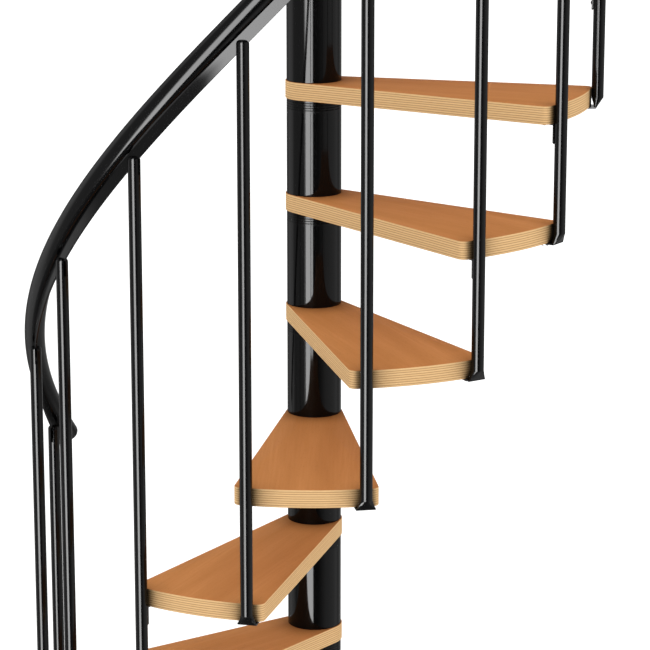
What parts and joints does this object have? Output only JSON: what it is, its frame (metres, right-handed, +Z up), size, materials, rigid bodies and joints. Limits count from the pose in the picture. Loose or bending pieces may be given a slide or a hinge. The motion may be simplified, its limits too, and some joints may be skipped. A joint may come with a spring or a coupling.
{
  "type": "spiral staircase",
  "caption": "Spiral staircase with plywood treads on a round black column, tube balusters and a winding round handrail.",
  "frame": {"origin": "on the column axis at floor level, the centre of the base flange's underside", "axes": "+Z up along the column; the flight climbs counter-clockwise seen from above; the picture looks along +Y"},
  "size_m": [1.198, 1.3656, 3.834],
  "materials": {
    "plywood": "satin varnish",
    "black_gloss": "gloss",
    "column_black": "gloss",
    "plastic_black": "gloss",
    "fittings_black": "satin",
    "pole_steel": "zinc plated"
  },
  "bodies": {
    "root": {"tread_01": "plywood", "tread_02": "plywood", "tread_03": "plywood", "tread_04": "plywood", "tread_05": "plywood", "tread_06": "plywood", "tread_07": "plywood", "tread_08": "plywood", "tread_09": "plywood", "tread_10": "plywood", "tread_11": "plywood", "landing": "plywood", "baluster_00": "black_gloss", "baluster_01": "black_gloss", "baluster_02": "black_gloss", "baluster_03": "black_gloss", "baluster_04": "black_gloss", "baluster_05": "black_gloss", "baluster_06": "black_gloss", "baluster_07": "black_gloss", "baluster_08": "black_gloss", "baluster_09": "black_gloss", "baluster_10": "black_gloss", "baluster_11": "black_gloss", "guard_baluster_1": "black_gloss", "guard_baluster_2": "black_gloss", "guard_baluster_3": "black_gloss", "guard_baluster_4": "black_gloss", "handrail_1": "black_gloss", "handrail_2": "black_gloss", "handrail_3": "black_gloss", "handrail_4": "black_gloss", "handrail_5": "black_gloss", "handrail_6": "black_gloss", "guard_rail": "black_gloss", "column_sleeves": "column_black", "top_sleeve": "column_black", "levelling_rings": "plastic_black", "column_cap": "plastic_black", "rail_end_caps": "plastic_black", "base_flange": "fittings_black", "edge_brackets": "fittings_black", "centre_pole": "pole_steel"}
  },
  "joints": []
}
